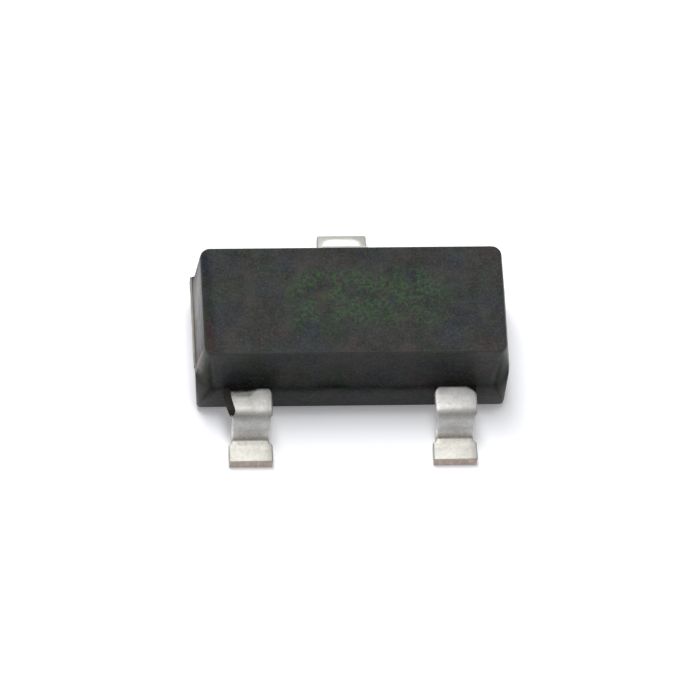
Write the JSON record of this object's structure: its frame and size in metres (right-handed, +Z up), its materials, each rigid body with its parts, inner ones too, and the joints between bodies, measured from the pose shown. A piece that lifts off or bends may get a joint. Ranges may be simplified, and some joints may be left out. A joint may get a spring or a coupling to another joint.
{
  "type": "zener diode",
  "caption": "Small surface-mount zener diode: black moulded body with drafted sides and flat tinned leads bent down and out to feet, with the chip and bond wire inside.",
  "frame": {"origin": "on the board under the middle of the body, level with the undersides of the feet", "axes": "+X along the body, +Y towards the side with the single cathode lead, +Z up from the board"},
  "size_m": [0.003, 0.0024, 0.001],
  "materials": {
    "moulding_resin": "fine-grained matte black epoxy, a little glossier on the sides",
    "tinned_strip": "matte tin plating over copper alloy strip, bare metal at the cut toes",
    "silver_glue": "dull silver-filled epoxy",
    "silicon": "polished silicon with sawn sides",
    "pad_metal": "bright evaporated metal",
    "gold_wire": "drawn gold"
  },
  "bodies": {
    "root": {"moulded_body": "moulding_resin", "anode_lead": "tinned_strip", "unconnected_lead": "tinned_strip", "cathode_lead": "tinned_strip", "die_attach": "silver_glue", "zener_chip": "silicon", "bond_pad": "pad_metal", "bond_wire": "gold_wire"}
  },
  "joints": []
}
